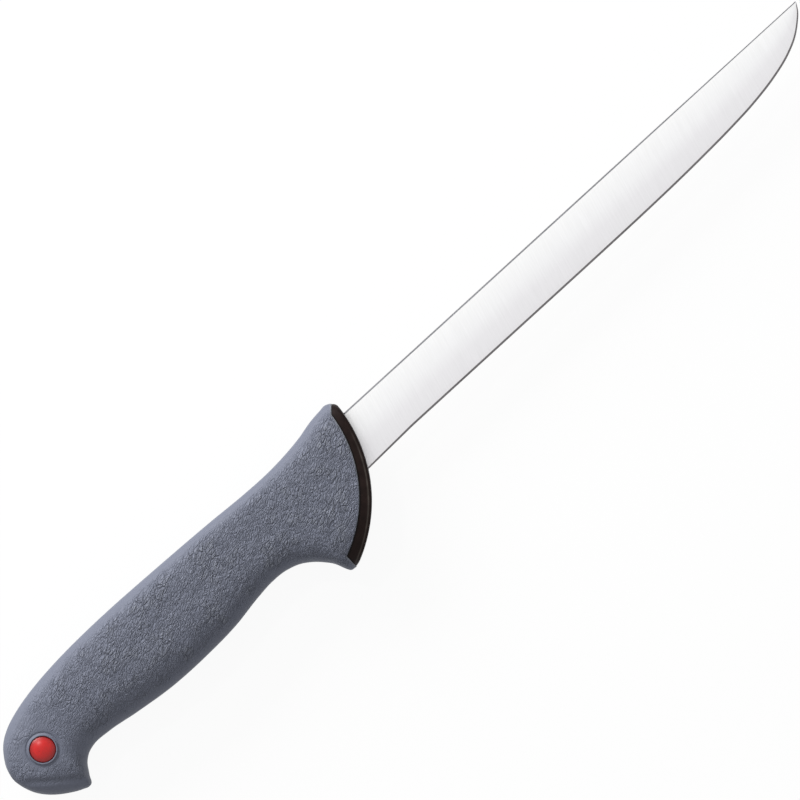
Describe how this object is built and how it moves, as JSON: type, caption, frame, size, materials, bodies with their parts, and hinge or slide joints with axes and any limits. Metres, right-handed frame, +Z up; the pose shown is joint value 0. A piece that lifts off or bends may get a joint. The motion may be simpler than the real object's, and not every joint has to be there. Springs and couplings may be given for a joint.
{
  "type": "fillet knife",
  "caption": "Fillet knife with a slim, slightly flexible blade, a two-material moulded handle with finger guard and black collar, and a removable colour button.",
  "frame": {"origin": "on the surface that the knife lies on, under the middle of its outline", "axes": "+X along the spine to the tip, +Y from the cutting edge to the spine, +Z up, out of the side shown in the picture"},
  "size_m": [0.3599, 0.0461, 0.021],
  "materials": {
    "blade_steel": "satin, ground across the blade",
    "core_plastic": "smooth moulded, near black",
    "grip_elastomer": "moulded leather grain, blue grey",
    "button_plastic": "glossy moulded, red"
  },
  "bodies": {
    "knife": {"blade": "blade_steel", "handle_core": "core_plastic", "soft_grip": "grip_elastomer"},
    "front_button": {"button_front": "button_plastic"},
    "back_button": {"button_back": "button_plastic"}
  },
  "joints": [
    {"name": "front_button_pull", "type": "slide", "parent": "knife", "child": "front_button", "axis": [0, 0, 1], "range_m": [0, 0.018]},
    {"name": "back_button_pull", "type": "slide", "parent": "knife", "child": "back_button", "axis": [0, 0, -1], "range_m": [0, 0.018]}
  ]
}
